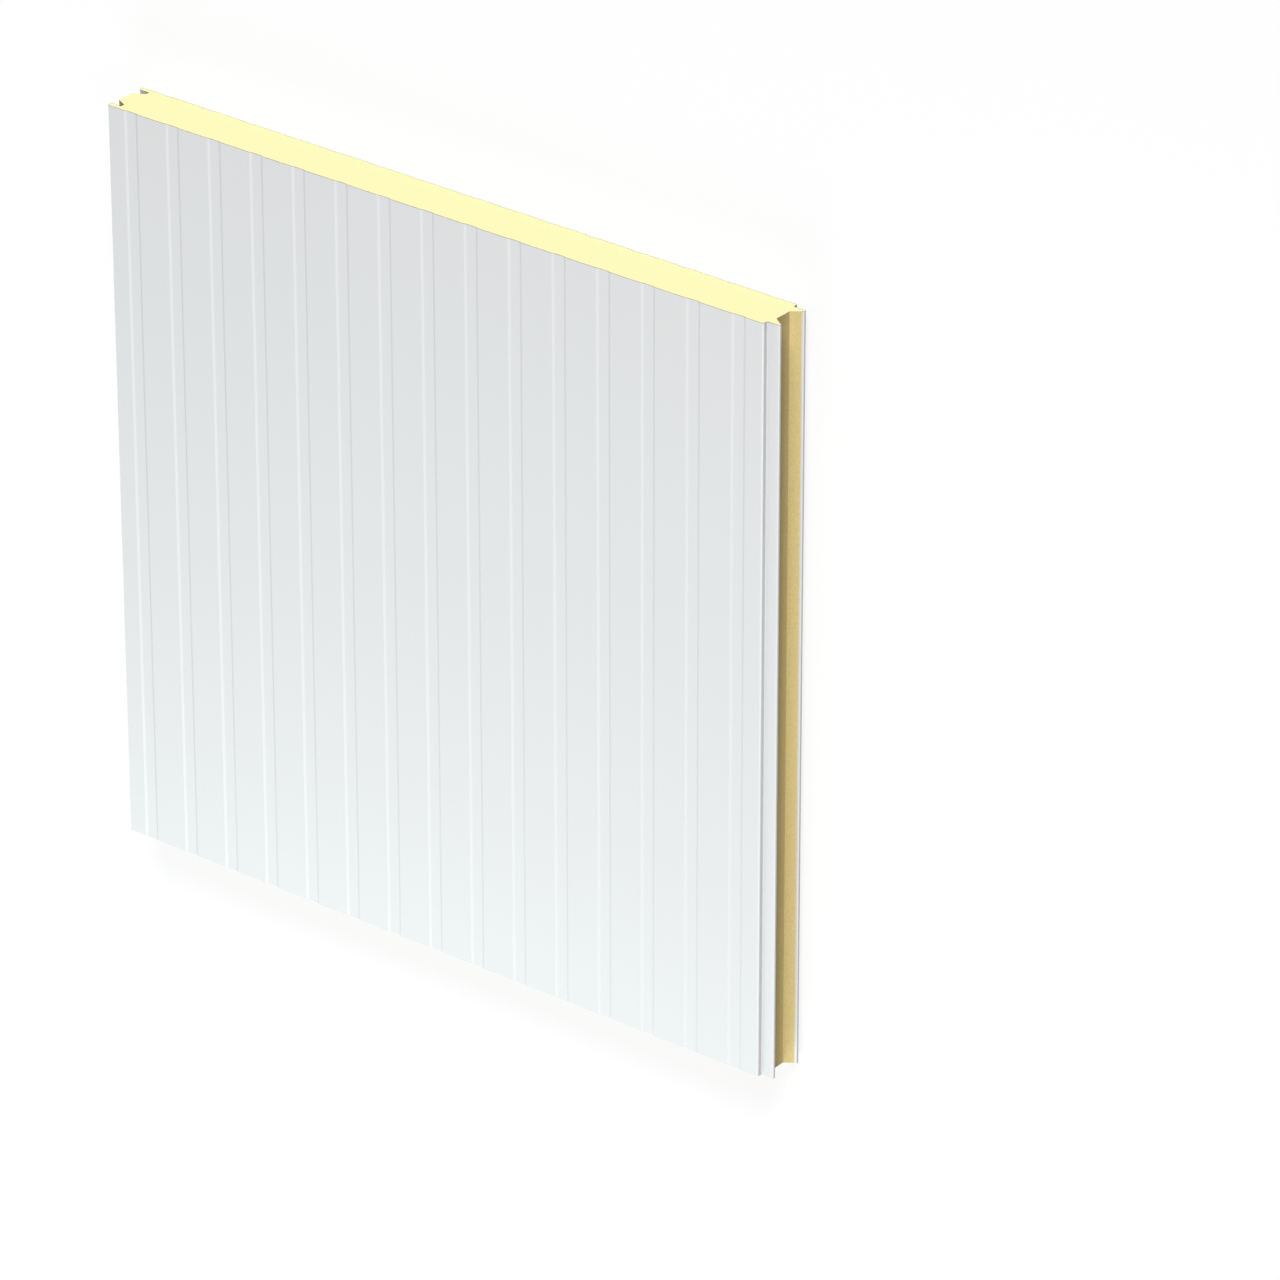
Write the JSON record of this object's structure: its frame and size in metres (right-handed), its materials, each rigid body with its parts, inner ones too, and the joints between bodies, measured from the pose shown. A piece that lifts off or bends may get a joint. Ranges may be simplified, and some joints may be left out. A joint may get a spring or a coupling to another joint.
{
  "type": "insulated sandwich wall panel",
  "caption": "Insulated wall panel: shallow-grooved steel facings on a rigid foam core, with a tongue edge, a groove edge and folded lips.",
  "frame": {"origin": "middle of the underside of the panel as it lies with its outer face up", "axes": "+X across the width from the tongue edge to the groove edge, +Y along the length and the grooves, +Z out of the outer face"},
  "size_m": [1.1664, 1.15, 0.075],
  "materials": {
    "facing_coating": "satin polyester coating on galvanised steel, fine even grain",
    "foam": "rigid closed-cell foam, sawn matt on the ends and moulded on the long edges"
  },
  "bodies": {
    "root": {"outer_facing_sheet": "facing_coating", "inner_facing_sheet": "facing_coating", "foam_core": "foam"}
  },
  "joints": []
}
